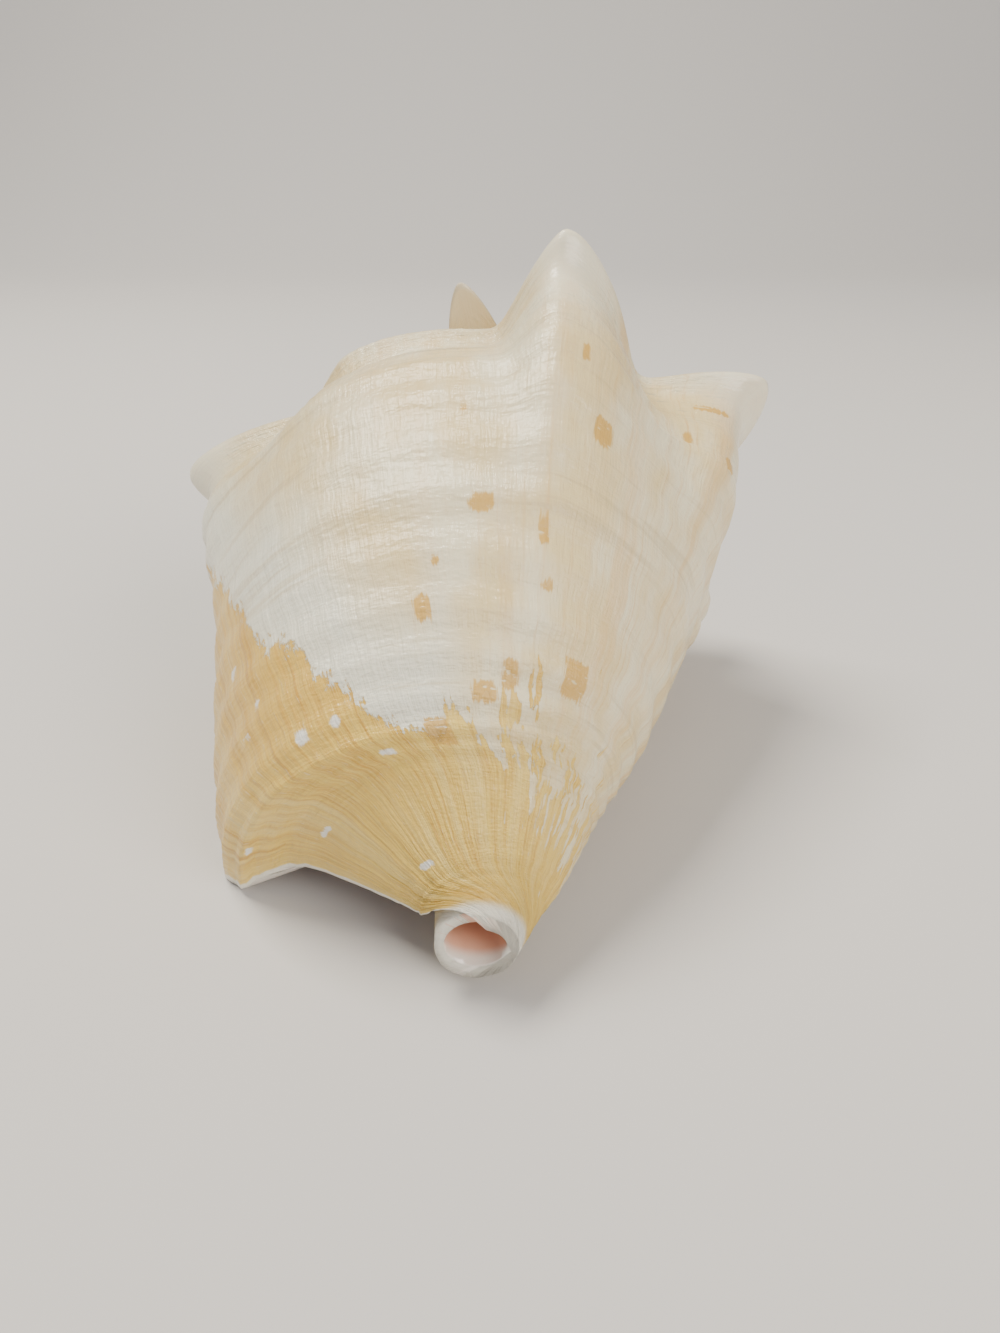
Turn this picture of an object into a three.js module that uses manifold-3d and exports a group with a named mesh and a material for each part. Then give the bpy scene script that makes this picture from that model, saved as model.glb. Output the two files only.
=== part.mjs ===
// A large knobbed sea shell, a young conch: one body of shell, grown as a right-handed spiral.
// It lies on its aperture, as such a shell lies on a table. Millimetres, +Z up, the spire towards +Y,
// the narrow siphonal end towards -Y, the outer lip towards -X.
//
// Every point of the shell is placed by two values. "turn" is the growth angle in degrees, 0 at the lip
// and below zero going back in age. "along" runs down the whorl: 0 at the suture, 2 at the shoulder,
// 11 at the siphonal end. A line of constant age is a growth line, and the lip is the last of them.

import * as THREE from 'three';
import { mergeVertices } from 'three/addons/utils/BufferGeometryUtils.js';
import Module from 'manifold-3d';

// ---- driving sizes ----
const AXIS_LENGTH = 197;
const WHORL_GROWTH = 1.75;
const LIP_ANGLE = 203;
const SHOULDER_DROP = 62;
const SHOULDER_RADIUS = 70.5;
const SUTURE_BELOW_SHOULDER = 10;
const RIGHT_SIDE_TURN = -205;
const ANTERIOR_SHRINK = 0.25;
const END_TILT = 0.3;
// The siphonal end bends a little away from the straight axis.
const BEND_START = 60;
const BEND_X = -6;
const BEND_Z = 0;

// Stations below the shoulder. before: distance from the siphonal end and radius, on the side half a
// whorl and more before the lip. lip: the same at the lip. late: how late in growth the change comes.
// swing: how far the growth line is turned back there, in degrees. shrinks: how much of the spiral's
// shrinking with age the radius takes part in.
const STATIONS = [
  { name: 'upper', before: [115, 55.7], lip: [115.9, 83.4], late: 1.0, swing: 0, shrinks: 1 },
  { name: 'middle', before: [84, 46.5], lip: [83.5, 81.2], late: 1.0, swing: 0, shrinks: 1 },
  { name: 'lower', before: [54, 34.3], lip: [51.6, 79.1], late: 1.3, swing: -0.5, shrinks: 1 },
  { name: 'corner', before: [38, 25.1], lip: [26.3, 69.3], late: 1.5, swing: -1.9, shrinks: 1 },
  { name: 'arch', before: [27, 20.5], lip: [25.2, 49.2], late: 1.5, swing: -7.5, shrinks: 1 },
  { name: 'neck', before: [16, 16.3], lip: [10.5, 18], late: 1.4, swing: -14, shrinks: 0.8 },
  { name: 'throat', before: [8, 12], lip: [5.8, 12.6], late: 1.2, swing: -32, shrinks: 0.4 },
  { name: 'end', before: [0, 9], lip: [-1.7, 11.6], late: 1.0, swing: -105, shrinks: 0.1 },
];
const LAST = STATIONS.length + 3;

// Knobs on the shoulder, evenly spaced in growth, each a blunt cone that runs on down the whorl.
const KNOB_FIRST_ANGLE = 171;
const KNOB_SPACING = 48.2;
const KNOB_COUNT = 26;
const KNOB_HEIGHT = 24;
const KNOB_USUAL = 0.6;
const KNOB_SHARES = [1.2, 0.28, 1.41, 1.64, 1.35, 1.42, 1.1, 0.7, 0.7, 2.45];
const KNOB_SHIFTS = [-0.5, 7, 7.2, 4.4, 8, 8, 4, 0, 0, 6.5];
const KNOB_YOUNG_WIDTHS = [12, 15, 9.5, 16.5, 14, 16, 16, 14, 14, 12];
const KNOB_OLD_WIDTHS = [20, 27, 22.5, 26, 20, 20, 20, 18, 18, 14];
const KNOB_USUAL_YOUNG_WIDTH = 15;
const KNOB_USUAL_OLD_WIDTH = 20;
const KNOB_REACHES_DOWN = [2.4, 2.05, 2.8, 2.4, 2.6];
const KNOB_REACH_DOWN = 2.05;
const KNOB_REACH_UP = 1.5;
const KNOB_TIP = 0.17;
const KNOB_FILLET = 0.14;
const KNOB_LEAN = 0.04;

// The hollow: the last whorl's chamber, and the siphonal canal that leads out of it.
const WALL = 3.6;
const CALLUS = 1.2;
const CHAMBER_DEPTH = -235;
const CHAMBER_PAST_LIP = 24;
const CANAL_RADIUS_X = 6.6;
const CANAL_RADIUS_Z = 6.0;

// Mesh fineness.
const STEPS_PER_WHORL = 76;
const SPIRE_WHORLS = 2.9;

// How the shell lies: tipped about X until the siphonal end meets the table, and rolled about its axis.
const PITCH = 16.72;
const ROLL = 1.86;
const WORN_FLAT = 0.8;

function radians(degrees) {
  return degrees * Math.PI / 180;
}

function clamp(value, low, high) {
  return Math.min(Math.max(value, low), high);
}

function smooth(value, low, high) {
  const t = clamp((value - low) / (high - low), 0, 1);
  return t * t * (3 - 2 * t);
}

// A smooth curve through evenly spaced values.
function through(values, at) {
  const last = values.length - 1;
  const i = clamp(Math.floor(at), 0, last - 1);
  const f = at - i;
  const a = values[i];
  const b = values[i + 1];
  const slopeA = i === 0 ? b - a : (b - values[i - 1]) / 2;
  const slopeB = i === last - 1 ? b - a : (values[i + 2] - a) / 2;
  const f2 = f * f;
  const f3 = f2 * f;
  return (2 * f3 - 3 * f2 + 1) * a + (f3 - 2 * f2 + f) * slopeA
    + (3 * f2 - 2 * f3) * b + (f3 - f2) * slopeB;
}

const SWINGS = [0, 0, 0, 0].concat(STATIONS.map((station) => station.swing));

function swing(along) {
  return through(SWINGS, along);
}

// Distance down the axis from the apex, and radius, with no knobs.
function smoothProfile(turn, along) {
  const scale = WHORL_GROWTH ** (turn / 360);
  const lowDrop = SHOULDER_DROP + SUTURE_BELOW_SHOULDER;
  const lowRadius = SHOULDER_RADIUS + 0.5;
  const sutureDrop = lowDrop / WHORL_GROWTH;
  const sutureRadius = lowRadius / WHORL_GROWTH;
  const drops = [
    sutureDrop * scale,
    (sutureDrop + (SHOULDER_DROP - sutureDrop) * 0.52) * scale,
    SHOULDER_DROP * scale,
    lowDrop * scale,
  ];
  const radii = [
    sutureRadius * scale,
    (sutureRadius + (SHOULDER_RADIUS - sutureRadius) * 0.55) * scale,
    SHOULDER_RADIUS * scale,
    lowRadius * scale,
  ];
  const age = clamp((turn - RIGHT_SIDE_TURN) / -RIGHT_SIDE_TURN, 0, 1.3);
  const older = turn < RIGHT_SIDE_TURN ? WHORL_GROWTH ** ((turn - RIGHT_SIDE_TURN) / 360) : 1;
  for (const station of STATIONS) {
    const share = age ** station.late;
    const [distance, radius] = station.before;
    const fromEnd = distance + (station.lip[0] - distance) * share;
    const shrink = ANTERIOR_SHRINK * (0.1 + 0.9 * smooth(distance, 0, 40));
    drops.push((AXIS_LENGTH - fromEnd) * (1 - shrink * (1 - older)));
    radii.push(radius * (station.lip[1] / radius) ** share * older ** station.shrinks);
  }
  return { drop: through(drops, along), radius: through(radii, along) };
}

// How far the knobs lift the surface.
function knobRise(turn, along) {
  const below = along - 2;
  const free = smooth(turn, -360, -335);
  let rise = 0;
  for (let n = 0; n < KNOB_COUNT; n += 1) {
    const centre = KNOB_FIRST_ANGLE - KNOB_SPACING * n + (KNOB_SHIFTS[n] ?? 0) - LIP_ANGLE;
    const away = turn - centre;
    const young = KNOB_YOUNG_WIDTHS[n] ?? KNOB_USUAL_YOUNG_WIDTH;
    const old = KNOB_OLD_WIDTHS[n] ?? KNOB_USUAL_OLD_WIDTH;
    const width = away > 0 ? young : old;
    const side = away / width;
    const down = KNOB_REACHES_DOWN[n] ?? KNOB_REACH_DOWN;
    const reach = below / (below < 0 ? KNOB_REACH_UP : down);
    const span = Math.sqrt(side * side + reach * reach + KNOB_TIP * KNOB_TIP) - KNOB_TIP;
    let lift = Math.log1p(Math.exp((1 - span) / KNOB_FILLET)) / Math.log1p(Math.exp(1 / KNOB_FILLET));
    if (below < 0) {
      lift *= clamp(1 - (below / 2) ** 4, 0, 1);
    } else {
      const open = clamp(1 - (below / 5) ** 2, 0, 1);
      const covered = clamp(1 - below * below, 0, 1);
      lift *= open * free + covered * (1 - free);
    }
    rise += KNOB_HEIGHT * (KNOB_SHARES[n] ?? KNOB_USUAL) * WHORL_GROWTH ** (centre / 360) * lift;
  }
  return rise;
}

function bent([x, y, z]) {
  const amount = clamp(1 - y / BEND_START, 0, 1.4) ** 2;
  return [x + BEND_X * amount, y, z + BEND_Z * amount];
}

// The axis is the Y axis, 0 at the siphonal end and AXIS_LENGTH at the apex.
function place(drop, radius, turn, along) {
  const angle = radians(LIP_ANGLE + turn);
  const z = radius * Math.sin(angle);
  const tilt = END_TILT * smooth(along, LAST - 2.2, LAST);
  return bent([radius * Math.cos(angle), AXIS_LENGTH - drop + tilt * z, z]);
}

function outerPoint(turn, along) {
  const { drop, radius } = smoothProfile(turn, along);
  const rise = knobRise(turn, along);
  return place(drop - KNOB_LEAN * rise, radius + rise, turn, along);
}

// ---- mesh building ----
function spread(from, to, steps) {
  return Array.from({ length: steps + 1 }, (_, i) => from + (to - from) * i / steps);
}

// Collects triangles and turns them into a closed solid.
class Faces {
  constructor() {
    this.positions = [];
  }

  triangle(a, b, c) {
    this.positions.push(...a, ...b, ...c);
  }

  quad(a, b, c, d) {
    this.triangle(a, b, c);
    this.triangle(a, c, d);
  }

  grid(rows) {
    for (let i = 0; i + 1 < rows.length; i += 1) {
      for (let j = 0; j + 1 < rows[i].length; j += 1) {
        this.quad(rows[i][j], rows[i + 1][j], rows[i + 1][j + 1], rows[i][j + 1]);
      }
    }
  }

  fan(centre, ring) {
    for (let i = 0; i + 1 < ring.length; i += 1) {
      this.triangle(centre, ring[i], ring[i + 1]);
    }
  }

  // Fills the strip between two lines that may have different numbers of points.
  strip(left, right) {
    let i = 0;
    let j = 0;
    while (i + 1 < left.length || j + 1 < right.length) {
      const leftNext = (i + 1) / (left.length - 1);
      const rightNext = (j + 1) / (right.length - 1);
      if (j + 1 >= right.length || (i + 1 < left.length && leftNext <= rightNext)) {
        this.triangle(left[i], right[j], left[i + 1]);
        i += 1;
      } else {
        this.triangle(left[i], right[j], right[j + 1]);
        j += 1;
      }
    }
  }
}

const wasm = await Module();
wasm.setup();

function solidFrom(geometry) {
  const bare = geometry.clone();
  for (const name of Object.keys(bare.attributes)) {
    if (name !== 'position') {
      bare.deleteAttribute(name);
    }
  }
  const merged = mergeVertices(bare, 1e-3);
  const index = [];
  const raw = merged.index.array;
  for (let i = 0; i < raw.length; i += 3) {
    const [a, b, c] = [raw[i], raw[i + 1], raw[i + 2]];
    if (a !== b && b !== c && c !== a) {
      index.push(a, b, c);
    }
  }
  const mesh = new wasm.Mesh({
    numProp: 3,
    vertProperties: new Float32Array(merged.attributes.position.array),
    triVerts: new Uint32Array(index),
  });
  const solid = new wasm.Manifold(mesh);
  return solid;
}

function solidFromFaces(faces) {
  const geometry = new THREE.BufferGeometry();
  geometry.setAttribute('position', new THREE.Float32BufferAttribute(faces.positions, 3));
  return solidFrom(geometry);
}

// ---- the solid whorls, with the aperture still closed by a flat face ----
function outerSolid() {
  const faces = new Faces();
  const ages = spread(-360, 0, STEPS_PER_WHORL);
  const rampAlongs = spread(0, 3, 6);
  const bodyAlongs = spread(3, LAST, 20);
  const alongs = rampAlongs.concat(bodyAlongs.slice(1));
  const lastWhorl = ages.map((age) => alongs.map((along) => outerPoint(age + swing(along), along)));
  faces.grid(lastWhorl);

  const spireSteps = Math.round(SPIRE_WHORLS * STEPS_PER_WHORL);
  const spireStart = -360 - spireSteps * 360 / STEPS_PER_WHORL;
  const spireAges = spread(spireStart, -360, spireSteps);
  const spire = spireAges.map((age) => rampAlongs.map((along) => outerPoint(age, along)));
  faces.grid(spire);

  // The aperture: from the lip back to the older whorl.
  const lip = lastWhorl[ages.length - 1];
  const olderWall = lastWhorl[0].slice(rampAlongs.length - 1);
  faces.strip(lip, olderWall);

  // The siphonal end, round a point a little off the axis.
  const endRing = lastWhorl.map((row) => row[row.length - 1]);
  const endCentre = bent([1.5, 0.5, -1.5]);
  faces.fan(endCentre, endRing);
  faces.triangle(endCentre, endRing[endRing.length - 1], endRing[0]);

  // The first whorls, drawn together at the apex.
  const apexRing = spire.slice(0, STEPS_PER_WHORL + 1).map((row) => row[0]);
  const apexCentre = [0, apexRing[0][1] + 2.5, 0];
  faces.fan(apexCentre, apexRing.slice().reverse());
  faces.fan(apexCentre, spire[0]);
  return faces;
}

// ---- the chamber ----
// One cross-section of the hollow: out along the inside of the whorl, back along the older whorl.
function chamberSection(turn) {
  const outer = spread(0.9, 9.2, 17).map((along) => {
    const here = smoothProfile(turn, along);
    const next = smoothProfile(turn, along + 0.05);
    const past = smoothProfile(turn, along - 0.05);
    const run = Math.hypot(next.drop - past.drop, next.radius - past.radius);
    const wall = WALL * WHORL_GROWTH ** (Math.min(turn, 0) / 720);
    const drop = here.drop + wall * (next.radius - past.radius) / run;
    const radius = here.radius - wall * (next.drop - past.drop) / run;
    return [drop, radius];
  });
  const inner = spread(9.2, 3.3, 10).map((along) => {
    const here = smoothProfile(turn - 360, along);
    return [here.drop, here.radius + CALLUS];
  });
  const angle = radians(LIP_ANGLE + turn);
  return outer.concat(inner).map(([drop, radius]) => bent([
    radius * Math.cos(angle), AXIS_LENGTH - drop, radius * Math.sin(angle),
  ]));
}

function sweptSolid(sections) {
  const faces = new Faces();
  const closed = sections.map((section) => section.concat([section[0]]));
  faces.grid(closed);
  for (const [section, flip] of [[sections[0], false], [sections[sections.length - 1], true]]) {
    const centre = [0, 1, 2].map((k) => section.reduce((sum, p) => sum + p[k], 0) / section.length);
    const ring = section.concat([section[0]]);
    faces.fan(centre, flip ? ring.reverse() : ring);
  }
  return faces;
}

function chamberSolid() {
  const turns = spread(CHAMBER_DEPTH, CHAMBER_PAST_LIP, 36);
  return sweptSolid(turns.map(chamberSection));
}

// ---- the siphonal canal: a bent tube from the end of the shell to the chamber ----
function canalSolid() {
  const path = new THREE.CatmullRomCurve3([
    new THREE.Vector3(0, -16, 0),
    new THREE.Vector3(0, 0, 0),
    new THREE.Vector3(-3, 11, -0.5),
    new THREE.Vector3(-13, 22, -3),
    new THREE.Vector3(-27, 32, -6),
  ]);
  const sections = spread(0, 1, 14).map((t) => {
    const centre = path.getPoint(t);
    const forward = path.getTangent(t);
    const side = new THREE.Vector3(0, 0, 1).cross(forward).normalize();
    const up = forward.clone().cross(side).normalize();
    const grow = 1 + 0.35 * smooth(t, 0.5, 1);
    return spread(330, 0, 11).map((angle) => {
      const a = radians(angle);
      const point = centre.clone();
      point.addScaledVector(side, CANAL_RADIUS_X * grow * Math.cos(a));
      point.addScaledVector(up, CANAL_RADIUS_Z * grow * Math.sin(a));
      return bent([point.x, point.y, point.z]);
    });
  });
  return sweptSolid(sections);
}

function cutterBelow(height) {
  const depth = 60;
  const box = new THREE.BoxGeometry(800, 800, depth);
  box.translate(0, 0, height - depth / 2);
  return solidFrom(box);
}

const grown = solidFromFaces(outerSolid());
const hollow = solidFromFaces(chamberSolid()).add(solidFromFaces(canalSolid()));
let shell = grown.subtract(hollow);

// Laid down as it rests, with its worn high spots on the table.
const lay = new THREE.Matrix4().makeRotationX(radians(PITCH));
lay.multiply(new THREE.Matrix4().makeRotationY(radians(ROLL)));
shell = shell.transform(lay.toArray());
const low = shell.boundingBox().min[2];
shell = shell.subtract(cutterBelow(low + WORN_FLAT));

// Origin: the middle of the shell's outline on the table.
const box = shell.boundingBox();
shell = shell.translate([
  -(box.min[0] + box.max[0]) / 2,
  -(box.min[1] + box.max[1]) / 2,
  -box.min[2],
]);

function geometryOf(solid) {
  const mesh = solid.getMesh();
  const geometry = new THREE.BufferGeometry();
  geometry.setAttribute('position', new THREE.Float32BufferAttribute(mesh.vertProperties, 3));
  geometry.setIndex(Array.from(mesh.triVerts));
  geometry.computeVertexNormals();
  return geometry;
}

const shellMaterial = new THREE.MeshStandardMaterial({ color: 0xe3dccb, roughness: 0.35, metalness: 0 });
const conch = new THREE.Mesh(geometryOf(shell), shellMaterial);
conch.name = 'conch_shell';

const group = new THREE.Group();
group.add(conch);

export default group;
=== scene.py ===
import math

import bmesh
import bpy
import numpy as np
from mathutils import Matrix, Vector, kdtree


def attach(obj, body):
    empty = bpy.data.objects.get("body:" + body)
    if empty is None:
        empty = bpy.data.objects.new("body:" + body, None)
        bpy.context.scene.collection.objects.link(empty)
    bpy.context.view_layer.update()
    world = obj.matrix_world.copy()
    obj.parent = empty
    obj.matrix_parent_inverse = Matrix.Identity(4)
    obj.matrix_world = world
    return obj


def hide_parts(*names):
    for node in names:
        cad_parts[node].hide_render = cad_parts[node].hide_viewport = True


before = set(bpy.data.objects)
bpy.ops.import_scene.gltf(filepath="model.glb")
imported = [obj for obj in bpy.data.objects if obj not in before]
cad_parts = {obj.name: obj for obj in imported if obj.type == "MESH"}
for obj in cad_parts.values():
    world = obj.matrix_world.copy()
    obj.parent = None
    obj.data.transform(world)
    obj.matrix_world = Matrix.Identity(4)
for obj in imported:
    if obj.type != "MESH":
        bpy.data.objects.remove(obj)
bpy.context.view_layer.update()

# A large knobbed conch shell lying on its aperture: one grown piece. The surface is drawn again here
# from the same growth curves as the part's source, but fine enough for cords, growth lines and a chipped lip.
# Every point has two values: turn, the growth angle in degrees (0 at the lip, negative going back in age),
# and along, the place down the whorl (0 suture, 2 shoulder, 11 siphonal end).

MM = 0.001

# Growth curves, as in the part's source, in millimetres and degrees
AXIS_LENGTH = 197
WHORL_GROWTH = 1.75
LIP_ANGLE = 203
SHOULDER_DROP = 62
SHOULDER_RADIUS = 70.5
SUTURE_BELOW_SHOULDER = 10
RIGHT_SIDE_TURN = -205
ANTERIOR_SHRINK = 0.25
END_TILT = 0.3
BEND_START = 60
BEND_X = -6
BEND_Z = 0
STATIONS = (
    # before (distance from the siphonal end, radius), at the lip (the same), how late, swing, how it shrinks
    ((115, 55.7), (115.9, 83.4), 1.0, 0, 1),
    ((84, 46.5), (83.5, 81.2), 1.0, 0, 1),
    ((54, 34.3), (51.6, 79.1), 1.3, -0.5, 1),
    ((38, 25.1), (26.3, 69.3), 1.5, -1.9, 1),
    ((27, 20.5), (25.2, 49.2), 1.5, -7.5, 1),
    ((16, 16.3), (10.5, 18), 1.4, -14, 0.8),
    ((8, 12), (5.8, 12.6), 1.2, -32, 0.4),
    ((0, 9), (-1.7, 11.6), 1.0, -105, 0.1),
)
LAST = len(STATIONS) + 3
KNOB_FIRST_ANGLE = 171
KNOB_SPACING = 48.2
KNOB_COUNT = 26
KNOB_HEIGHT = 24
KNOB_USUAL = 0.6
KNOB_SHARES = (1.2, 0.28, 1.41, 1.64, 1.35, 1.42, 1.1, 0.7, 0.7, 2.45)
KNOB_SHIFTS = (-0.5, 7, 7.2, 4.4, 8, 8, 4, 0, 0, 6.5)
KNOB_YOUNG_WIDTHS = (12, 15, 9.5, 16.5, 14, 16, 16, 14, 14, 12)
KNOB_OLD_WIDTHS = (20, 27, 22.5, 26, 20, 20, 20, 18, 18, 14)
KNOB_USUAL_YOUNG_WIDTH = 15
KNOB_USUAL_OLD_WIDTH = 20
KNOB_REACHES_DOWN = (2.4, 2.05, 2.8, 2.4, 2.6)
KNOB_REACH_DOWN = 2.05
KNOB_REACH_UP = 1.5
KNOB_TIP = 0.17
KNOB_FILLET = 0.14
KNOB_LEAN = 0.04
WALL = 3.6
CALLUS = 1.2
CHAMBER_DEPTH = -235
CHAMBER_PAST_LIP = 24
# The chamber's section runs down inside the outer wall and back up along the whorl before, by station.
CHAMBER_FROM = 0.9
CHAMBER_TO = 9.2
CHAMBER_BACK_TO = 3.3
CANAL_RADIUS_X = 6.6
CANAL_RADIUS_Z = 6.0
CANAL_WIDENS = 0.35
CANAL_KNOTS = ((0, -16, 0), (0, 0, 0), (-3, 11, -0.5), (-13, 22, -3), (-27, 32, -6))
END_MIDDLE = (1.5, 0.5, -1.5)
APEX_RISE = 2.5
SPIRE_TURN = 1040
PITCH = 16.72
ROLL = 1.86


def smooth(value, low, high):
    t = np.clip((value - low) / (high - low), 0, 1)
    return t * t * (3 - 2 * t)


def through(values, at):
    """A smooth curve through evenly spaced values; values may be a list of arrays shaped like at."""
    rows = np.array([np.broadcast_to(v, at.shape) for v in values])
    last = len(values) - 1
    i = np.clip(np.floor(at).astype(int), 0, last - 1)
    f = at - i

    def pick(k):
        return np.take_along_axis(rows, np.clip(k, 0, last)[None], 0)[0]

    a, b = pick(i), pick(i + 1)
    slope_a = np.where(i == 0, b - a, (b - pick(i - 1)) / 2)
    slope_b = np.where(i == last - 1, b - a, (pick(i + 2) - a) / 2)
    f2, f3 = f * f, f * f * f
    towards_a = (2 * f3 - 3 * f2 + 1) * a + (f3 - 2 * f2 + f) * slope_a
    return towards_a + (3 * f2 - 2 * f3) * b + (f3 - f2) * slope_b


def swing(along):
    return through([0, 0, 0, 0] + [s[3] for s in STATIONS], along)


def smooth_profile(turn, along):
    scale = WHORL_GROWTH ** (turn / 360)
    low_drop = SHOULDER_DROP + SUTURE_BELOW_SHOULDER
    low_radius = SHOULDER_RADIUS + 0.5
    suture_drop = low_drop / WHORL_GROWTH
    suture_radius = low_radius / WHORL_GROWTH
    drops = [
        suture_drop * scale,
        (suture_drop + (SHOULDER_DROP - suture_drop) * 0.52) * scale,
        SHOULDER_DROP * scale,
        low_drop * scale,
    ]
    radii = [
        suture_radius * scale,
        (suture_radius + (SHOULDER_RADIUS - suture_radius) * 0.55) * scale,
        SHOULDER_RADIUS * scale,
        low_radius * scale,
    ]
    age = np.clip((turn - RIGHT_SIDE_TURN) / -RIGHT_SIDE_TURN, 0, 1.3)
    older = np.where(turn < RIGHT_SIDE_TURN, WHORL_GROWTH ** ((turn - RIGHT_SIDE_TURN) / 360), 1)
    for (distance, radius), (lip_distance, lip_radius), late, _, shrinks in STATIONS:
        share = age ** late
        from_end = distance + (lip_distance - distance) * share
        shrink = ANTERIOR_SHRINK * (0.1 + 0.9 * smooth(distance, 0, 40))
        drops.append((AXIS_LENGTH - from_end) * (1 - shrink * (1 - older)))
        radii.append(radius * (lip_radius / radius) ** share * older ** shrinks)
    return through(drops, along), through(radii, along)


def knob_rise(turn, along):
    below = along - 2
    free = smooth(turn, -360, -335)
    total = np.zeros_like(turn)
    for n in range(KNOB_COUNT):
        shift = KNOB_SHIFTS[n] if n < len(KNOB_SHIFTS) else 0
        height = KNOB_SHARES[n] if n < len(KNOB_SHARES) else KNOB_USUAL
        centre = KNOB_FIRST_ANGLE - KNOB_SPACING * n + shift - LIP_ANGLE
        away = turn - centre
        young = KNOB_YOUNG_WIDTHS[n] if n < len(KNOB_YOUNG_WIDTHS) else KNOB_USUAL_YOUNG_WIDTH
        old = KNOB_OLD_WIDTHS[n] if n < len(KNOB_OLD_WIDTHS) else KNOB_USUAL_OLD_WIDTH
        side = away / np.where(away > 0, young, old)
        down = KNOB_REACHES_DOWN[n] if n < len(KNOB_REACHES_DOWN) else KNOB_REACH_DOWN
        reach = below / np.where(below < 0, KNOB_REACH_UP, down)
        span = np.sqrt(side * side + reach * reach + KNOB_TIP * KNOB_TIP) - KNOB_TIP
        lift = np.log1p(np.exp((1 - span) / KNOB_FILLET)) / math.log1p(math.exp(1 / KNOB_FILLET))
        open_side = np.clip(1 - (below / 5) ** 2, 0, 1)
        covered = np.clip(1 - below * below, 0, 1)
        ramp_side = np.clip(1 - (below / 2) ** 4, 0, 1)
        lift = lift * np.where(below < 0, ramp_side, open_side * free + covered * (1 - free))
        total += KNOB_HEIGHT * height * WHORL_GROWTH ** (centre / 360) * lift
    return total


def bent(points):
    """The siphonal end of the shell bends gently away from the straight axis."""
    amount = np.clip(1 - points[..., 1:2] / BEND_START, 0, 1.4) ** 2
    return points + amount * np.array([BEND_X, 0, BEND_Z])


def place(drop, radius, turn, along):
    angle = np.radians(LIP_ANGLE + turn)
    z = radius * np.sin(angle)
    tilt = END_TILT * smooth(along, LAST - 2.2, LAST)
    return bent(np.stack([radius * np.cos(angle), AXIS_LENGTH - drop + tilt * z, z], -1))


def outer_point(turn, along):
    drop, radius = smooth_profile(turn, along)
    rise = knob_rise(turn, along)
    return place(drop - KNOB_LEAN * rise, radius + rise, turn, along)


# Fine relief, in millimetres along the surface normal
CORDS_PER_STATION = 2.5
CORD_HEIGHT = 0.75
RAMP_CORDS_PER_STATION = 5
RAMP_CORD_HEIGHT = 0.16
GROWTH_LINE_HEIGHT = 0.14
UNEVEN_HEIGHT = 0.35
# How far the growing edge is nibbled back, in degrees of growth.
CHIP_DEPTH = 1.1


def ripple(value, seed, octaves=3):
    """Smooth repeatable one-dimensional noise between about -1 and 1."""
    total = np.zeros_like(value)
    size = 1.0
    for octave in range(octaves):
        finer = 2.03 ** octave
        wander = 1.7 * np.sin(value * 0.61 * finer + seed * 3.1 + octave)
        total += size * np.sin(value * finer + wander + seed * 5.7)
        size *= 0.55
    return total / 1.6


def relief(turn, age, along):
    """Spiral cords, growth lines and gentle unevenness of a shell surface."""
    scale = WHORL_GROWTH ** (turn / 360)
    body = smooth(along, 2.4, 3.4) * (1 - 0.8 * smooth(along, 7.0, 8.4)) * (1 - smooth(along, 10.3, 10.9))
    ramp = smooth(along, 0.15, 0.6) * (1 - smooth(along, 1.2, 1.9))
    older = smooth(turn, -360, -345)
    close = older + (1 - older) * (1 - smooth(along, 2.5, 2.95))
    wave = np.cos(2 * np.pi * CORDS_PER_STATION * along + 0.35 * ripple(age / 9, 3))
    cords = CORD_HEIGHT * (np.sign(wave) * np.abs(wave) ** 0.8) * body
    cords += RAMP_CORD_HEIGHT * np.cos(2 * np.pi * RAMP_CORDS_PER_STATION * along + 0.5) * ramp
    cords *= 0.75 + 0.25 * ripple(age / 14 + along * 0.6, 1)
    lines = GROWTH_LINE_HEIGHT * ripple(age * 1.35 + 0.5 * np.sin(along * 1.3), 2, 4)
    lines *= 0.35 + 0.65 * smooth(age, -150, 0) + 0.5 * smooth(along, 7.5, 10)
    uneven = UNEVEN_HEIGHT * ripple(age / 17 + along * 0.9, 4) * ripple(along * 1.7 - age / 31, 5)
    knobs = 1 - smooth(knob_rise(turn, along), 6, 15)
    edge = smooth(along, 0.0, 0.25)
    height = cords * (0.3 + 0.7 * knobs) + (lines + uneven) * (0.4 + 0.6 * knobs)
    return height * close * edge * scale ** 0.7


def chipped_edge(age, along):
    """The last of the shell before the lip is nibbled away in small teeth."""
    teeth = np.abs(ripple(along * 9.0, 7, 4)) + 0.6 * np.maximum(ripple(along * 31.0, 8, 2), 0)
    near = smooth(age, -14, 0)
    return age - CHIP_DEPTH * teeth * near * smooth(along, 1.0, 3.0) * (1 - 0.6 * smooth(along, 10, 11))


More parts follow.
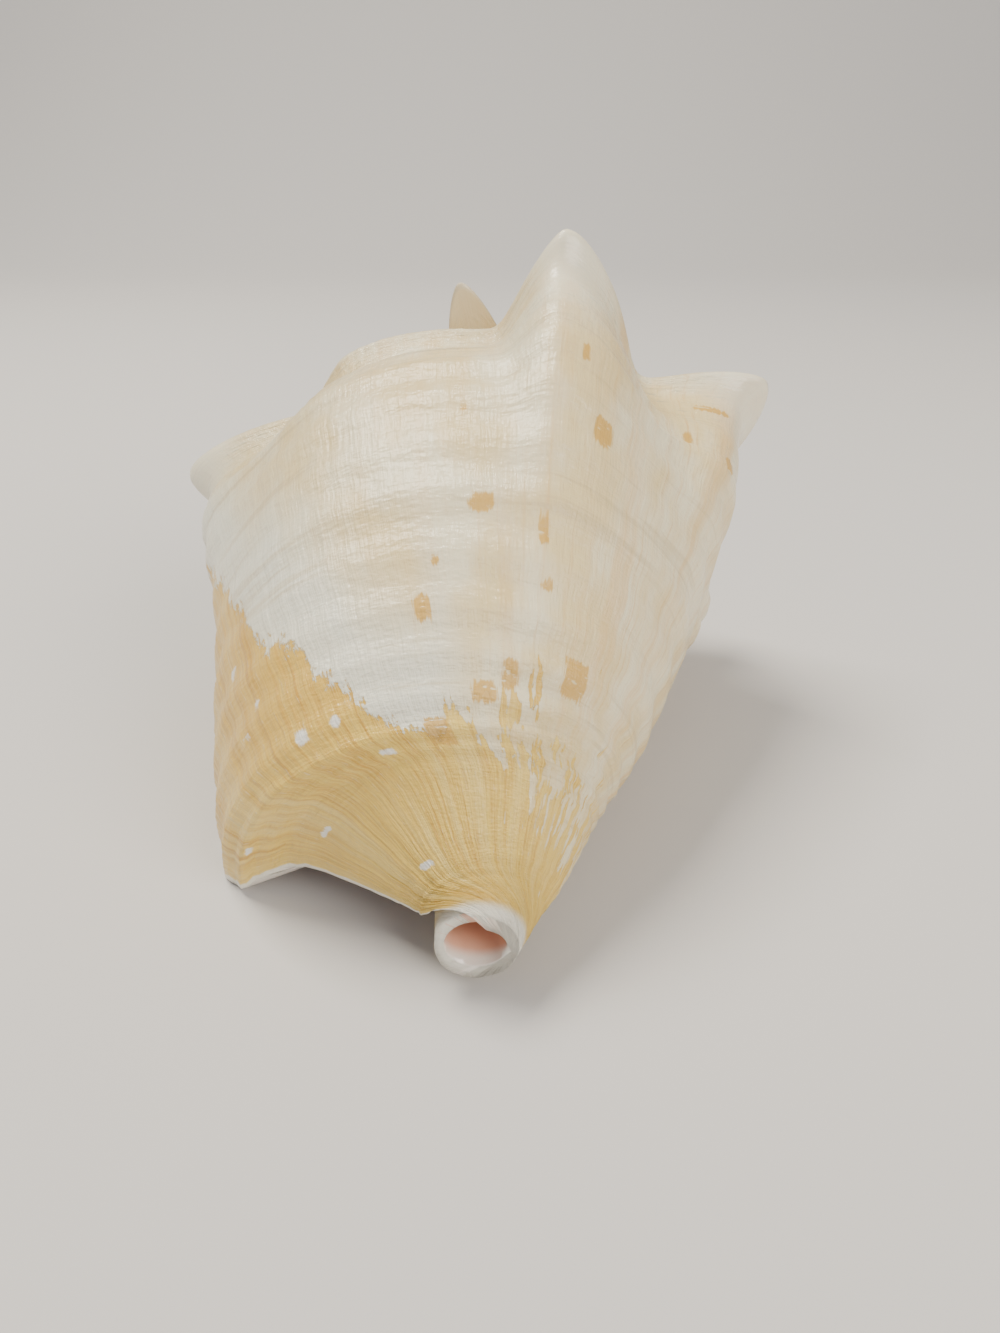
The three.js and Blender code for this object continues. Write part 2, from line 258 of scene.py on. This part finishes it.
# Closed meshes
class Faces:
    """Points and faces gathered for one closed body; each point keeps its turn and along."""

    def __init__(self):
        self.points = []
        self.marks = []
        self.faces = []
        self.count = 0

    def add(self, points, turn, along):
        points = np.asarray(points, float).reshape(-1, 3)
        self.points.append(points)
        turn = np.broadcast_to(turn, len(points))
        self.marks.append(np.stack([turn, np.broadcast_to(along, len(points))], 1))
        first = self.count
        self.count += len(points)
        return first

    def grid(self, points, turn, along):
        rows, columns = points.shape[:2]
        first = self.add(points, turn.ravel(), along.ravel())
        i, j = np.meshgrid(np.arange(rows - 1), np.arange(columns - 1), indexing="ij")
        a = first + i * columns + j
        self.faces += np.stack([a, a + columns, a + columns + 1, a + 1], -1).reshape(-1, 4).tolist()
        return first + np.arange(rows * columns).reshape(rows, columns)

    def fan(self, centre, ring):
        first = self.add([centre], *self.mark_of(ring[0]))
        for a, b in zip(ring[:-1], ring[1:]):
            self.faces.append((first, int(a), int(b)))

    def mark_of(self, index):
        marks = np.concatenate(self.marks)
        return marks[index]

    def strip(self, left, right):
        i = j = 0
        while i + 1 < len(left) or j + 1 < len(right):
            left_next = (i + 1) / (len(left) - 1)
            right_next = (j + 1) / (len(right) - 1)
            if j + 1 >= len(right) or (i + 1 < len(left) and left_next <= right_next):
                self.faces.append((int(left[i]), int(right[j]), int(left[i + 1])))
                i += 1
            else:
                self.faces.append((int(left[i]), int(right[j]), int(right[j + 1])))
                j += 1

    def mesh(self, name):
        """Welds the seams and returns a Blender object, still in millimetres."""
        mesh = bpy.data.meshes.new(name)
        mesh.from_pydata(np.concatenate(self.points).tolist(), [], self.faces)
        marks = np.concatenate(self.marks)
        for title, column in (("turn", 0), ("along", 1)):
            layer = mesh.attributes.new(title, "FLOAT", "POINT")
            layer.data.foreach_set("value", marks[:, column].astype(np.float32))
        work = bmesh.new()
        work.from_mesh(mesh)
        bmesh.ops.remove_doubles(work, verts=work.verts, dist=0.002)
        bmesh.ops.dissolve_degenerate(work, edges=work.edges, dist=0.0005)
        work.to_mesh(mesh)
        work.free()
        made = bpy.data.objects.new(name, mesh)
        bpy.context.scene.collection.objects.link(made)
        return made


def with_relief(age, along):
    """The outer surface with its relief pushed out along the normals of the grid."""
    eaten = chipped_edge(age, along)
    turn = eaten + swing(along)
    points = outer_point(turn, along)
    step_a = outer_point(turn + 0.2, along) - outer_point(turn - 0.2, along)
    step_b = outer_point(turn, np.minimum(along + 0.01, LAST))
    step_b = step_b - outer_point(turn, np.maximum(along - 0.01, 0))
    normal = np.cross(step_a, step_b)
    normal /= np.linalg.norm(normal, axis=-1, keepdims=True) + 1e-9
    return points + normal * relief(turn, eaten, along)[..., None]


def grown_shell(fine):
    """The solid whorls with the aperture still closed, as in the part's source."""
    body = Faces()
    step = 360 / fine["turns"]
    ages = -360 + step * np.arange(fine["turns"] + 1)
    ramp = np.linspace(0, 3, fine["ramp"] + 1)
    alongs = np.concatenate([ramp, np.linspace(3, LAST, fine["body"] + 1)[1:]])
    age, along = np.meshgrid(ages, alongs, indexing="ij")
    points = with_relief(age, along)
    last_whorl = body.grid(points, age, along)

    spire_steps = round(SPIRE_TURN / step)
    spire_ages = -360 + step * np.arange(-spire_steps, 1)
    age, along = np.meshgrid(spire_ages, ramp, indexing="ij")
    points = with_relief(age, along)
    spire = body.grid(points, age, along)

    body.strip(last_whorl[-1], last_whorl[0][fine["ramp"]:])
    end_ring = last_whorl[:, -1]
    body.fan(END_MIDDLE, np.concatenate([end_ring, end_ring[:1]]))
    apex_ring = spire[:fine["turns"] + 1, 0]
    all_points = np.concatenate(body.points)
    apex = (0, all_points[apex_ring[0]][1] + APEX_RISE, 0)
    body.fan(apex, np.concatenate([apex_ring[::-1], spire[0][1:]]))
    return body.mesh("shell_outside")


def swept(sections, turns, name):
    body = Faces()
    points = np.array(sections)
    count = points.shape[1]
    points = np.concatenate([points, points[:, :1]], 1)
    turn = np.repeat(np.array(turns)[:, None], count + 1, 1)
    rows = body.grid(points, turn, np.zeros_like(turn))
    body.fan(points[0, :-1].mean(0), rows[0])
    body.fan(points[-1, :-1].mean(0), rows[-1][::-1])
    return body.mesh(name)


def chamber(fine):
    turns = np.linspace(CHAMBER_DEPTH, CHAMBER_PAST_LIP, fine["chamber_turns"])
    sections = []
    for turn in turns:
        along = np.linspace(CHAMBER_FROM, CHAMBER_TO, fine["chamber_out"])
        turn_row = np.full_like(along, turn)
        drop, radius = smooth_profile(turn_row, along)
        drop_next, radius_next = smooth_profile(turn_row, along + 0.05)
        drop_past, radius_past = smooth_profile(turn_row, along - 0.05)
        run = np.hypot(drop_next - drop_past, radius_next - radius_past)
        wall = WALL * WHORL_GROWTH ** (min(turn, 0) / 720)
        inward_drop = drop + wall * (radius_next - radius_past) / run
        inward_radius = radius - wall * (drop_next - drop_past) / run
        outer = np.stack([inward_drop, inward_radius], 1)
        along = np.linspace(CHAMBER_TO, CHAMBER_BACK_TO, fine["chamber_in"])
        drop, radius = smooth_profile(np.full_like(along, turn - 360), along)
        inner = np.stack([drop, radius + CALLUS], 1)
        section = np.concatenate([outer, inner])
        angle = math.radians(LIP_ANGLE + turn)
        x, z = section[:, 1] * math.cos(angle), section[:, 1] * math.sin(angle)
        sections.append(bent(np.stack([x, AXIS_LENGTH - section[:, 0], z], 1)))
    return swept(sections, turns, "chamber_space")


def canal(fine):
    """A bent tube from the siphonal end into the chamber."""
    knots = np.array(CANAL_KNOTS, float)
    t = np.linspace(0, len(knots) - 1, fine["canal_steps"])
    path = np.stack([through(list(knots[:, k]), t) for k in range(3)], 1)
    forward = np.gradient(path, axis=0)
    forward /= np.linalg.norm(forward, axis=1, keepdims=True)
    side = np.cross((0, 0, 1), forward)
    side /= np.linalg.norm(side, axis=1, keepdims=True)
    up = np.cross(forward, side)
    grow = 1 + CANAL_WIDENS * smooth(t / t[-1], 0.5, 1)
    angle = np.radians(np.linspace(360, 0, fine["canal_round"], endpoint=False))
    ring_x = CANAL_RADIUS_X * np.cos(angle)[None, :, None] * grow[:, None, None]
    ring_z = CANAL_RADIUS_Z * np.sin(angle)[None, :, None] * grow[:, None, None]
    points = path[:, None] + side[:, None] * ring_x + up[:, None] * ring_z
    return swept(bent(points), np.zeros(len(t)), "canal_space")


FINE = {"turns": 520, "ramp": 20, "body": 84, "chamber_turns": 100, "chamber_out": 36, "chamber_in": 20,
        "canal_steps": 30, "canal_round": 32}


# Moves from the growing position to the table: rolled, tipped and set down, as in the part's source.
SET_DOWN = (8.892, -92.988, 13.879)


def laid(points):
    roll, pitch = math.radians(ROLL), math.radians(PITCH)
    x, y, z = points[..., 0], points[..., 1], points[..., 2]
    x, z = x * math.cos(roll) + z * math.sin(roll), z * math.cos(roll) - x * math.sin(roll)
    y, z = y * math.cos(pitch) - z * math.sin(pitch), y * math.sin(pitch) + z * math.cos(pitch)
    moved = np.stack([x, y, z], -1) + np.array(SET_DOWN)
    moved[..., 2] = np.maximum(moved[..., 2], 0)
    return moved


# Markings, each placed by growth angle and station
# Where the thin cream outer layer has come away: the edge of the tan under-layer, as (age, along).
TAN_EDGE = (
    (-360, 9.6), (-220, 9.3), (-160, 8.9), (-142, 8.4), (-126, 8.0), (-107, 7.8), (-100, 7.3), (-95, 7.0),
    (-89, 7.35), (-81, 7.13), (-76, 7.0), (-70, 6.6), (-64, 6.35), (-59, 6.0), (-52, 5.85), (-44, 5.33),
    (-38, 4.87), (-30, 4.4), (-15, 3.9), (0, 3.6),
)
# Small squarish ochre spots on the cream: age, along, half width, half height in millimetres.
OCHRE_SPOTS = (
    (-132, 4.6, 2.6, 3.4), (-106, 5.27, 3.0, 2.3), (-95, 5.67, 1.0, 1.2), (-91, 6.0, 1.7, 3.3),
    (-120, 5.4, 1.2, 3.6), (-135, 6.4, 3.0, 4.0), (-105, 6.73, 2.5, 2.2), (-113, 6.53, 1.7, 3.1),
    (-89, 7.2, 2.4, 3.0), (-159, 3.8, 1.0, 2.8), (-165, 3.27, 3.4, 1.1), (-170, 3.9, 1.6, 2.2),
    (-122, 5.75, 1.5, 1.4), (-103, 4.5, 0.9, 1.4), (-126, 4.1, 0.8, 2.2),
)
# Small white flecks left standing in the tan.
WHITE_CHIPS = (
    (-39, 5.8, 1.5, 1.6), (-45, 6.27, 1.0, 1.5), (-38, 6.47, 2.2, 1.0), (-54, 6.8, 1.5, 1.7),
    (-64, 6.8, 1.3, 1.4), (-23, 8.13, 2.6, 0.9), (-51, 9.0, 1.9, 0.8), (-33, 5.9, 0.8, 0.8),
    (-70, 7.5, 1.5, 0.7), (-14, 7.3, 1.5, 0.8),
)
MM_PER_DEGREE = 1.45
MM_PER_STATION = 24.0
# Knobs are rubbed white from this height to this height.
RUBBED_FROM = 8
RUBBED_FULL = 24
# A face is on the inside where its middle, or its first corner, is this far from the outer surface.
INNER_MIDDLE_APART = 1.6
INNER_CORNER_APART = 1.2


def spot_distance(age, along, spots):
    """Millimetres to the nearest spot, below zero inside it."""
    nearest = np.full_like(age, 20.0)
    drop, radius = smooth_profile(age, along)
    drop_on, radius_on = smooth_profile(age, along + 0.05)
    across = np.radians(radius)
    down = np.hypot(drop_on - drop, radius_on - radius) / 0.05
    for centre, station, half_width, half_height in spots:
        side = np.abs(age - centre) * across - half_width
        high = np.abs(along - station) * down - half_height
        nearest = np.minimum(nearest, np.maximum(side, high))
    return nearest


def nearest_marks(mesh, outside):
    """Growth values for every vertex of the cut mesh, and how far it is from the outer surface."""
    tree = kdtree.KDTree(len(outside.data.vertices))
    for i, vertex in enumerate(outside.data.vertices):
        tree.insert(vertex.co, i)
    tree.balance()
    ages = np.empty(len(outside.data.vertices), np.float32)
    alongs = np.empty_like(ages)
    outside.data.attributes["turn"].data.foreach_get("value", ages)
    outside.data.attributes["along"].data.foreach_get("value", alongs)
    found = [tree.find(vertex.co) for vertex in mesh.vertices]
    index = np.array([hit[1] for hit in found])
    away = np.array([hit[2] for hit in found])
    return ages[index].astype(float), alongs[index].astype(float), away


def put(mesh, name, values):
    layer = mesh.attributes.new(name, "FLOAT", "POINT")
    layer.data.foreach_set("value", np.ascontiguousarray(values, np.float32))


def cut_out(body, space):
    cut = body.modifiers.new(space.name, "BOOLEAN")
    cut.operation = "DIFFERENCE"
    cut.solver = "MANIFOLD"
    cut.object = space


def build_shell():
    fine = FINE
    outside = grown_shell(fine)
    spaces = [chamber(fine), canal(fine)]
    for space in spaces:
        cut_out(outside, space)
    graph = bpy.context.evaluated_depsgraph_get()
    mesh = bpy.data.meshes.new_from_object(outside.evaluated_get(graph))
    mesh.name = "conch_shell_skin"
    mesh.materials.clear()
    for title in ("turn", "along"):
        if title in mesh.attributes:
            mesh.attributes.remove(mesh.attributes[title])
    age, along, away = nearest_marks(mesh, outside)
    points = np.empty(len(mesh.vertices) * 3)
    mesh.vertices.foreach_get("co", points)
    points = points.reshape(-1, 3)
    edge = np.interp(age, [k[0] for k in TAN_EDGE], [k[1] for k in TAN_EDGE])
    put(mesh, "age", age)
    put(mesh, "along", along)
    put(mesh, "tan_edge", (along - edge) * MM_PER_STATION)
    put(mesh, "ochre", spot_distance(age, along, OCHRE_SPOTS))
    put(mesh, "chips", spot_distance(age, along, WHITE_CHIPS))
    put(mesh, "knob", smooth(knob_rise(age, along), RUBBED_FROM, RUBBED_FULL))
    put(mesh, "depth", points[:, 1])
    inner = np.zeros(len(mesh.polygons), np.int32)
    corner = np.array([polygon.vertices[0] for polygon in mesh.polygons])
    middle = np.array([polygon.center for polygon in mesh.polygons])
    tree = kdtree.KDTree(len(outside.data.polygons))
    for i, polygon in enumerate(outside.data.polygons):
        tree.insert(polygon.center, i)
    tree.balance()
    apart = np.array([tree.find(Vector(point))[2] for point in middle])
    inner[(apart > INNER_MIDDLE_APART) | (away[corner] > INNER_CORNER_APART)] = 1
    mesh.polygons.foreach_set("material_index", inner)
    mesh.vertices.foreach_set("co", (laid(points) * MM).ravel())
    for made in [outside] + spaces:
        bpy.data.objects.remove(made)
    mesh.polygons.foreach_set("use_smooth", np.ones(len(mesh.polygons), bool))
    mesh.update()
    shell = bpy.data.objects.new("conch_shell_grown", mesh)
    bpy.context.scene.collection.objects.link(shell)
    return shell


# Materials
def linear(code):
    """The linear colour of an sRGB hex value."""
    parts = [int(code[i:i + 2], 16) / 255 for i in (1, 3, 5)]
    return tuple(c / 12.92 if c <= 0.04045 else ((c + 0.055) / 1.055) ** 2.4 for c in parts) + (1.0,)


# Settings that many nodes share.
TIMES = {"operation": "MULTIPLY"}
PLUS = {"operation": "ADD"}
MINUS = {"operation": "SUBTRACT"}
TIMES_PLUS = {"operation": "MULTIPLY_ADD"}
LARGER = {"operation": "MAXIMUM"}
RISE = {"interpolation_type": "SMOOTHSTEP"}
COLOURS = {"data_type": "RGBA"}


class Finish:
    """One material, built up from its nodes."""

    def __init__(self, name):
        self.material = bpy.data.materials.new(name)
        self.material.use_nodes = True
        self.tree = self.material.node_tree
        self.tree.nodes.clear()
        out = self.tree.nodes.new("ShaderNodeOutputMaterial")
        self.shader = self.tree.nodes.new("ShaderNodeBsdfPrincipled")
        self.tree.links.new(self.shader.outputs["BSDF"], out.inputs["Surface"])

    def add(self, kind, settings, *values, output=None, **named):
        """Adds a node with its settings; values fill its open inputs in order. Gives its output."""
        node = self.tree.nodes.new("ShaderNode" + kind)
        for key, value in settings.items():
            setattr(node, key, value)
        for socket, value in zip([socket for socket in node.inputs if socket.enabled], values):
            self.give(socket, value)
        for key, value in named.items():
            self.give(node.inputs[key], value)
        return node.outputs[output] if output else next(out for out in node.outputs if out.enabled)

    def give(self, socket, value):
        """Sets an input to a number or a hex colour, or joins another node's output to it."""
        if isinstance(value, bpy.types.NodeSocket):
            self.tree.links.new(value, socket)
        else:
            socket.default_value = linear(value) if isinstance(value, str) else value

    def marks(self, *names):
        """The values that the mesh carries under these names."""
        return [self.add("Attribute", {"attribute_name": name}, output="Fac") for name in names]

    def lay(self, base, colour, pattern, low, high, strength=1.0):
        """One colour laid over another where a pattern goes from low to high."""
        share = self.add("Math", TIMES, self.add("MapRange", RISE, pattern, low, high), strength)
        return self.add("Mix", COLOURS, share, base, colour)

    def shade(self, values):
        """Gives the surface its values, by the names of the shader's inputs."""
        for name, value in values.items():
            self.give(self.shader.inputs[name], value)
        return self.material


def grown_layers():
    """Glossy old shell: cream outer layer with faint growth streaks, worn through to tan near the lip."""
    finish = Finish("varnished_cream_and_tan_shell")
    add, lay = finish.add, finish.lay
    age, along, edge, ochre, chips, knob = finish.marks("age", "along", "tan_edge", "ochre", "chips", "knob")
    # Millimetres round the whorl and down it, so that every pattern below has a real size.
    round_mm = add("Math", TIMES, age, MM_PER_DEGREE)
    down_mm = add("Math", TIMES, along, MM_PER_STATION)

    def grain(per_mm, detail, roughness=0.55, round_by=1.0, down_by=1.0, layer=0.0):
        """Noise with this many cells a millimetre, drawn out where round_by or down_by is below 1."""
        across = add("Math", TIMES, round_mm, round_by)
        down = add("Math", TIMES, down_mm, down_by)
        return add("TexNoise", {}, add("CombineXYZ", {}, across, down, layer), per_mm, detail, roughness)

    # Growth streaks about 2 mm by 40 mm, broken finer, and wide ones about 11 mm by 110 mm.
    streak = grain(0.5, 8.0, 0.78, down_by=0.05)
    wide_streak = grain(0.09, 3.0, down_by=0.10, layer=7.0)
    # Blotches about 22 mm across.
    blotch = grain(0.045, 3.0, layer=3.0)
    # Threads about 1 mm wide and 5 mm long, both ways: the small rectangular cells that catch the light.
    thread_a = grain(0.95, 2.0, down_by=0.22)
    thread_b = grain(0.8, 2.0, round_by=0.22, layer=5.0)
    # Lines about 3 mm wide along the spiral.
    furrow = grain(0.32, 4.0, 0.6, round_by=0.03, layer=11.0)
    # Ragged bits about 3 mm across, and islands about 6 mm by 18 mm.
    ragged = grain(0.3, 6.0, 0.7, layer=1.0)
    islands = grain(0.16, 3.0, down_by=0.35, layer=9.0)

    cream = lay("#EDE2BF", "#E6CF98", blotch, 0.36, 0.62)
    # The older side, to the right, is warmer and more streaked.
    older = add("MapRange", RISE, age, -95.0, -165.0)
    cream = lay(cream, "#D9AE6C", streak, 0.50, 0.70, add("Math", TIMES_PLUS, older, 0.55, 0.3))
    cream = lay(cream, "#E3BE80", wide_streak, 0.50, 0.68, add("Math", TIMES_PLUS, older, 0.5, 0.3))
    # Near the tan edge, on the younger side, a cold bluish white is painted in: painted sheen where the
    # glossy surface catches the overhead light.
    young = add("Math", MINUS, 1.0, add("MapRange", RISE, age, -88.0, -112.0))
    painted_sheen = add("Math", TIMES, add("MapRange", RISE, edge, -44.0, -14.0), young)
    cream = add("Mix", COLOURS, add("Math", TIMES, painted_sheen, 0.8), cream, "#E8E8DA")
    # Grey threads on the shoulder.
    shoulder = add("MapRange", RISE, along, 4.6, 2.6)
    grey = add("Math", TIMES, add("MapRange", RISE, thread_b, 0.58, 0.70), shoulder)
    cream = add("Mix", COLOURS, add("Math", TIMES, grey, 0.5), cream, "#A8A590")
    # Thin darker lines along the spiral.
    cream = lay(cream, "#BFA97C", furrow, 0.56, 0.68, 0.38)
    # Knob tips are rubbed white.
    cream = add("Mix", COLOURS, add("Math", TIMES, knob, 0.75), cream, "#F0EAD6")
    # The penultimate whorl and the spire are darker beige.
    cream = lay(cream, "#CDBB9C", age, -330.0, -372.0, 0.55)

    tan = lay("#EBC85E", "#CB9A36", streak, 0.42, 0.66)
    tan = lay(tan, "#F0D682", wide_streak, 0.46, 0.66, 0.5)
    tan = lay(tan, "#D4A140", along, 7.2, 6.4, 0.35)
    tan = lay(tan, "#EBDDBC", thread_a, 0.62, 0.72, 0.35)

    # The ragged edge between them, in millimetres: teeth along the growth lines, and further back loose
    # islands of tan.
    teeth = add("Math", TIMES_PLUS, streak, 20.0, -10.0)
    teeth = add("Math", PLUS, teeth, add("Math", TIMES_PLUS, ragged, 22.0, -11.0))
    loose = add("MapRange", RISE, age, -86.0, -112.0)
    loose = add("Math", TIMES, loose, add("Math", TIMES_PLUS, islands, 190.0, -88.0))
    teeth = add("Math", PLUS, teeth, loose)
    worn = add("MapRange", RISE, add("Math", PLUS, edge, teeth), -0.7, 0.7)
    worn = add("Math", TIMES, worn, add("MapRange", RISE, age, -230.0, -200.0))
    colour = add("Mix", COLOURS, worn, cream, tan)

    # Ochre spots on the cream, and white flecks in the tan.
    spots = add("Math", PLUS, ochre, add("Math", TIMES_PLUS, thread_a, 2.4, -1.2))
    spots = add("MapRange", RISE, spots, 0.35, -0.35)
    spots = add("Math", TIMES, spots, add("MapRange", RISE, thread_b, 0.30, 0.42))
    colour = add("Mix", COLOURS, add("Math", TIMES, spots, 0.9), colour, "#D1A344")
    flecks = add("Math", PLUS, chips, add("Math", TIMES_PLUS, ragged, 1.8, -0.9))
    colour = lay(colour, "#EDE9DF", flecks, 0.25, -0.25, worn)
    # A thin white rim where the growing edge is bare, and white round the siphonal end.
    edge_age = add("Math", PLUS, age, add("Math", TIMES_PLUS, ragged, 1.2, -0.6))
    rim = add("MapRange", RISE, edge_age, -2.2, -1.4)
    rim = add("Math", LARGER, rim, add("MapRange", RISE, along, 10.5, 10.8))
    colour = add("Mix", COLOURS, rim, colour, "#EDE8DA")

    # Bump, in millimetres: threads and streaks, a step down to the tan, and less on the knobs.
    height = add("Math", PLUS, thread_a, add("Math", TIMES, thread_b, 1.5))
    height = add("Math", TIMES, height, 0.26)
    height = add("Math", PLUS, height, add("Math", TIMES, streak, 0.16))
    height = add("Math", MINUS, height, add("Math", TIMES, worn, 0.10))
    height = add("Math", TIMES, height, add("MapRange", RISE, knob, 1.0, 0.3, 0.25, 1.0))
    bump = add("Bump", {}, Strength=1.0, Distance=MM, Height=height)
    return finish.shade({
        "Base Color": colour,
        "Roughness": add("MapRange", RISE, streak, 0.3, 0.7, 0.34, 0.46),
        "IOR": 1.5,
        "Coat Weight": 0.5,
        "Coat Roughness": 0.1,
        "Subsurface Weight": 0.06,
        "Subsurface Radius": (0.9, 0.6, 0.4),
        "Subsurface Scale": 0.004,
        "Normal": bump,
        "Coat Normal": bump,
    })


def inner_layer():
    """Smooth porcelain-like inside: pale at the edges, orange-pink a little way in (partly painted shade),
    and pink beyond.
    """
    finish = Finish("pink_porcelain_inner_shell")
    add, lay = finish.add, finish.lay
    # far is millimetres from the siphonal end along the axis.
    age, far = finish.marks("age", "depth")
    # Clouds about 22 mm across.
    cloud = add("TexNoise", {}, add("NewGeometry", {}, output="Position"), 45.0, 3.0, 0.55)
    pink = lay("#E9C0A8", "#E2AE93", cloud, 0.35, 0.65)
    # A deeper orange-pink a little way in from the siphonal end: partly the shell's own pink, partly painted
    # shade inside the canal.
    pink = lay(pink, "#CF9078", far, 6.0, 24.0)
    pink = add("Mix", COLOURS, add("MapRange", RISE, far, 90.0, 20.0, 1.0, 0.0), pink, "#E7BFA7")
    pale = add("MapRange", RISE, age, -3.5, -1.0)
    pale = add("Math", LARGER, add("MapRange", RISE, far, 3.5, 0.5), pale)
    return finish.shade({
        "Base Color": add("Mix", COLOURS, pale, pink, "#EDE4DA"),
        "Roughness": 0.22,
        "Coat Weight": 0.4,
        "Coat Roughness": 0.08,
        "Subsurface Weight": 0.1,
        "Subsurface Radius": (0.9, 0.5, 0.35),
        "Subsurface Scale": 0.004,
        "Normal": add("Bump", {}, Strength=0.4, Distance=MM, Height=cloud),
    })


def floor_paint():
    """Matt pale studio floor that keeps the shadow soft and plain."""
    return Finish("matt_pale_floor").shade({"Base Color": "#CBC8C6", "Roughness": 0.9})


# The piece
shell = build_shell()
shell.data.materials.append(grown_layers())
shell.data.materials.append(inner_layer())
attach(shell, "root")
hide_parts("conch_shell")


# Studio, in metres: a floor that turns up softly into a plain backdrop
FLOOR_HALF_WIDTH = 3.5
FLOOR_FRONT = -2.5
FLOOR_BACK = 0.9
TURN_UP_RADIUS = 0.7
BACKDROP_TOP = 3.0
ROOM_TINT = "#E4E6EA"
ROOM_STRENGTH = 0.6
# The main soft light is overhead, a little to the left and behind; the other fills in from the front right.
LIGHT_AIM = (0, 0, 0.05)
LIGHTS = (
    # name, place, size, watts, tint
    ("overhead_soft_light", (-0.5, 0.3, 1.35), (0.7, 0.6), 31, "#FFF8E8"),
    ("front_fill_light", (0.95, -0.9, 0.9), (0.9, 0.7), 19, "#FFF8EC"),
)


def backdrop():
    profile = [(FLOOR_FRONT, 0.0), (FLOOR_BACK, 0.0)]
    for angle in np.radians(np.arange(6, 91, 6)):
        away = FLOOR_BACK + TURN_UP_RADIUS * math.sin(angle)
        profile.append((away, TURN_UP_RADIUS - TURN_UP_RADIUS * math.cos(angle)))
    profile.append((FLOOR_BACK + TURN_UP_RADIUS, BACKDROP_TOP))
    points = [(side * FLOOR_HALF_WIDTH, y, z) for y, z in profile for side in (-1, 1)]
    faces = [(2 * i, 2 * i + 1, 2 * i + 3, 2 * i + 2) for i in range(len(profile) - 1)]
    mesh = bpy.data.meshes.new("floor")
    mesh.from_pydata(points, [], faces)
    mesh.polygons.foreach_set("use_smooth", [True] * len(faces))
    mesh.materials.append(floor_paint())
    floor = bpy.data.objects.new("floor", mesh)
    bpy.context.scene.collection.objects.link(floor)


def pale_room():
    world = bpy.data.worlds.new("pale_room")
    world.use_nodes = True
    background = world.node_tree.nodes["Background"]
    background.inputs["Color"].default_value = linear(ROOM_TINT)
    background.inputs["Strength"].default_value = ROOM_STRENGTH
    bpy.context.scene.world = world


def soft_lights():
    for name, place_at, size, watts, tint in LIGHTS:
        lamp = bpy.data.lights.new(name, "AREA")
        lamp.shape = "RECTANGLE"
        lamp.size, lamp.size_y = size
        lamp.energy = watts
        lamp.color = linear(tint)[:3]
        holder = bpy.data.objects.new(name, lamp)
        holder.location = place_at
        holder.rotation_euler = (Vector(LIGHT_AIM) - Vector(place_at)).to_track_quat("-Z", "Y").to_euler()
        bpy.context.scene.collection.objects.link(holder)


# Camera, from where the photo was taken: about 0.16 m above the table, looking down. Metres and degrees;
# the length is in pixels of the 1333 pixel high picture.
PICTURE_HEIGHT_PX = 1333
SENSOR_MM = 36
CAMERA_PLACE = (0.01015, -0.22676, 0.16332)
CAMERA_TURN = -0.75
CAMERA_DOWN = 31.14
CAMERA_ROLL = -0.35
CAMERA_LENGTH_PX = 926.7


def photo_camera():
    turn, down, roll = (math.radians(a) for a in (CAMERA_TURN, CAMERA_DOWN, CAMERA_ROLL))
    ahead = Vector((math.sin(turn) * math.cos(down), math.cos(turn) * math.cos(down), -math.sin(down)))
    right = Vector((math.cos(turn), -math.sin(turn), 0))
    above = right.cross(ahead)
    level_right, level_above = right, above
    right = level_right * math.cos(roll) + level_above * math.sin(roll)
    above = level_above * math.cos(roll) - level_right * math.sin(roll)
    lens = bpy.data.cameras.new("photo_camera")
    lens.sensor_fit = "AUTO"
    lens.sensor_width = SENSOR_MM
    lens.lens = CAMERA_LENGTH_PX * SENSOR_MM / PICTURE_HEIGHT_PX
    lens.clip_start = 0.01
    camera = bpy.data.objects.new("photo_camera", lens)
    turned = Matrix((right, above, -ahead)).transposed().to_4x4()
    camera.matrix_world = Matrix.Translation(CAMERA_PLACE) @ turned
    bpy.context.scene.collection.objects.link(camera)
    bpy.context.scene.camera = camera


backdrop()
pale_room()
soft_lights()
photo_camera()
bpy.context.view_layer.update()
